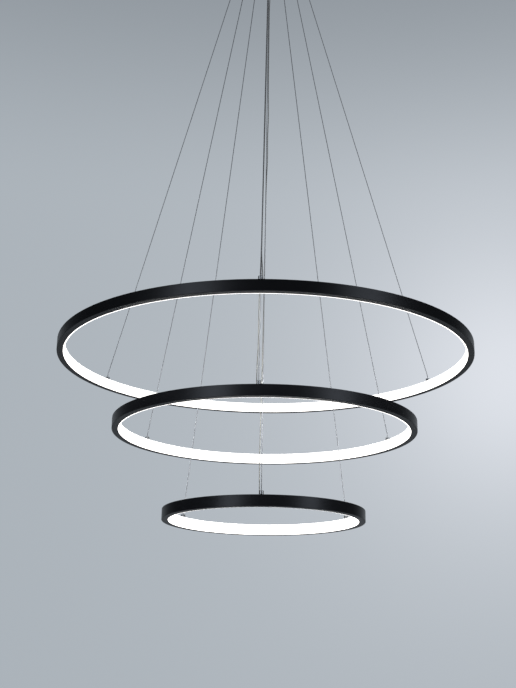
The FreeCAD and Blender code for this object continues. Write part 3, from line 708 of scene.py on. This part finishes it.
class CHANDELIER_OT_stage(bpy.types.Operator):
    """Make the studio: a pale backdrop, a floor, three softboxes and the light that the rings throw inward"""

    bl_idname = "chandelier.stage"
    bl_label = "Studio"

    def execute(self, context):
        scene, stage, colours = context.scene, context.scene.chandelier_stage, context.scene.chandelier_colours
        scene.view_settings.view_transform = "Standard"
        self.make_backdrop(scene, stage, colours)
        self.make_floor(scene, colours)
        for name, (azimuth, share) in SOFTBOXES.items():
            reach = Matrix.Rotation(math.radians(azimuth), 3, "Z") @ Vector(SOFTBOX_REACH)
            self.make_softbox(scene, name, Vector(MIDDLE) + reach, SOFTBOX_SIZE, stage.softbox_power * share)
        self.make_softbox(scene, "softbox_overhead", Vector(OVERHEAD_PLACE), OVERHEAD_SIZE, stage.overhead_power)
        for ring in RINGS:
            self.make_spill(scene, ring, stage.spill)
        return {"FINISHED"}

    def add_lamp(self, scene, name, size, power, place, back):
        """Add a rectangular lamp that the camera doesn't see. Its back faces the given way."""
        lamp = bpy.data.lights.new(name, "AREA")
        lamp.shape = "RECTANGLE"
        lamp.size, lamp.size_y = size
        lamp.energy = power
        holder = bpy.data.objects.new(name, lamp)
        holder.location = place
        holder.rotation_euler = back.to_track_quat("Z", "Y").to_euler()
        holder.visible_camera = False
        scene.collection.objects.link(holder)
        return holder

    def make_softbox(self, scene, name, place, size, power):
        """Add a softbox that points at the middle of the rings."""
        softbox = self.add_lamp(scene, name, size, power, place, place - Vector(MIDDLE))
        softbox.data.color = SOFTBOX_TINT

    def make_spill(self, scene, ring, strength):
        """Line a ring with strip lamps that face inward, for the light that its diffuser throws on the wires."""
        low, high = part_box(f"{ring}_diffuser")
        reach = high[0] * SPILL_REACH
        size = (math.tau * reach / SPILL_LAMPS, high[2] - low[2])
        middle = Vector((0, 0, (low[2] + high[2]) / 2))
        for i in range(SPILL_LAMPS):
            angle = math.tau * i / SPILL_LAMPS
            out = Vector((math.cos(angle), math.sin(angle), 0))
            power = strength * size[0] * size[1]
            spill = self.add_lamp(scene, f"{ring}_spill_{i}", size, power, middle + out * reach, out)
            spill.visible_glossy = False

    def make_backdrop(self, scene, stage, colours):
        """Light the world: even light, and a pale backdrop with a bright patch, which is seen and mirrored."""
        world = bpy.data.worlds.new("studio")
        world.use_nodes = True
        scene.world = world
        tree = world.node_tree
        way = coordinates(tree, "Generated")
        parts = add_node(tree, "ShaderNodeSeparateXYZ", {"Vector": way})
        towards = add_node(
            tree, "ShaderNodeVectorMath", {0: way, 1: Vector(BRIGHT_WAY).normalized()}, operation="DOT_PRODUCT"
        )
        # The patch falls off as 1 / (1 + (tangent of the angle to its middle) ** 2 / BRIGHT_SPREAD).
        ahead = maths(tree, "MAXIMUM", towards.outputs["Value"], LEAST_COSINE)
        square = maths(tree, "POWER", ahead, -2.0)
        falloff = maths(tree, "MULTIPLY_ADD", square, 1 / BRIGHT_SPREAD, 1 - 1 / BRIGHT_SPREAD)
        patch = maths(tree, "DIVIDE", 1.0, falloff)
        bright = mixed(tree, patch, linear(colours.backdrop), linear(colours.backdrop_bright))
        high = ranged(tree, parts.outputs["Z"], start=0.42, end=0.66, interpolation_type="SMOOTHSTEP")
        seen = mixed(tree, high, bright, linear(colours.backdrop_top))

        # Reflections see the backdrop dimmed behind the camera and towards the floor.
        path = add_node(tree, "ShaderNodeLightPath")
        glossy = path.outputs["Is Glossy Ray"]
        behind = ranged(
            tree,
            parts.outputs["Y"],
            start=0.5,
            end=1.05,
            low=stage.room,
            high=1.0,
            interpolation_type="SMOOTHSTEP",
        )
        above = ranged(
            tree,
            parts.outputs["Z"],
            start=-0.35,
            end=0.1,
            low=0.25,
            high=1.0,
            interpolation_type="SMOOTHSTEP",
        )
        mirrored = maths(tree, "MULTIPLY", maths(tree, "MULTIPLY", behind, above), glossy)
        strength = maths(tree, "ADD", mirrored, maths(tree, "SUBTRACT", 1.0, glossy))
        shown = maths(tree, "MAXIMUM", path.outputs["Is Camera Ray"], glossy)
        shown = maths(tree, "MAXIMUM", shown, path.outputs["Is Transmission Ray"])

        backdrop = tree.nodes["Background"]
        set_inputs(tree, backdrop, {"Color": seen, "Strength": strength})
        even = add_node(tree, "ShaderNodeBackground", {"Color": (1, 1, 1, 1), "Strength": stage.ambient})
        both = add_node(tree, "ShaderNodeMixShader", {0: shown, 1: even.outputs[0], 2: backdrop.outputs[0]})
        set_inputs(tree, tree.nodes["World Output"], {"Surface": both.outputs[0]})

    def make_floor(self, scene, colours):
        """Add a round floor that fades into the backdrop and can be looked through from below."""
        disc = bmesh.new()
        bmesh.ops.create_circle(disc, cap_ends=True, segments=96, radius=FLOOR_RADIUS)
        mesh = bpy.data.meshes.new("floor")
        disc.to_mesh(mesh)
        disc.free()
        floor = bpy.data.objects.new("floor", mesh)
        floor.location = (0, 0, FLOOR_HEIGHT)
        scene.collection.objects.link(floor)
        made, tree, surface = new_material("rolled_paper_floor")
        place = coordinates(tree)
        fibre = noise(tree, place, size=0.004, detail=3.0)
        set_inputs(tree, surface, {
            "Base Color": linear(colours.floor),
            "Roughness": 0.8,
            "Normal": relief(tree, fibre, strength=0.1, depth=0.0003),
        })
        distance = add_node(tree, "ShaderNodeVectorMath", {0: place}, operation="LENGTH").outputs["Value"]
        fade = ranged(tree, distance, *FLOOR_FADES, interpolation_type="SMOOTHSTEP")
        below = add_node(tree, "ShaderNodeNewGeometry").outputs["Backfacing"]
        hidden = maths(tree, "MAXIMUM", fade, below)
        clear = add_node(tree, "ShaderNodeBsdfTransparent")
        both = add_node(tree, "ShaderNodeMixShader", {0: hidden, 1: surface.outputs[0], 2: clear.outputs[0]})
        set_inputs(tree, tree.nodes["Material Output"], {"Surface": both.outputs[0]})
        mesh.materials.append(made)


class CHANDELIER_PT_panel(bpy.types.Panel):
    """Steps that dress the chandelier"""

    bl_idname = "CHANDELIER_PT_panel"
    bl_label = "Ring Chandelier"
    bl_space_type = "VIEW_3D"
    bl_region_type = "UI"
    bl_category = "Chandelier"

    def draw(self, context):
        for group in ("chandelier_sizes", "chandelier_colours", "chandelier_stage"):
            settings = getattr(context.scene, group)
            box = self.layout.box()
            for name in settings.bl_rna.properties.keys():
                if name not in ("rna_type", "name"):
                    box.prop(settings, name)
        for step in STEPS:
            self.layout.operator(step.bl_idname)


STEPS = (
    CHANDELIER_OT_camera,
    CHANDELIER_OT_wires,
    CHANDELIER_OT_cables,
    CHANDELIER_OT_housings,
    CHANDELIER_OT_diffusers,
    CHANDELIER_OT_strips,
    CHANDELIER_OT_plated,
    CHANDELIER_OT_canopy,
    CHANDELIER_OT_fixings,
    CHANDELIER_OT_electrics,
    CHANDELIER_OT_stage,
)
GROUPS = (ChandelierSizes, ChandelierColours, ChandelierStage)


def register():
    for made in (*GROUPS, *STEPS, CHANDELIER_PT_panel):
        bpy.utils.register_class(made)
    bpy.types.Scene.chandelier_sizes = PointerProperty(type=ChandelierSizes)
    bpy.types.Scene.chandelier_colours = PointerProperty(type=ChandelierColours)
    bpy.types.Scene.chandelier_stage = PointerProperty(type=ChandelierStage)


def unregister():
    del bpy.types.Scene.chandelier_sizes
    del bpy.types.Scene.chandelier_colours
    del bpy.types.Scene.chandelier_stage
    for made in reversed((*GROUPS, *STEPS, CHANDELIER_PT_panel)):
        bpy.utils.unregister_class(made)


def main():
    register()
    for step in STEPS:
        area, name = step.bl_idname.split(".")
        getattr(getattr(bpy.ops, area), name)()


if __name__ == "__main__":
    main()
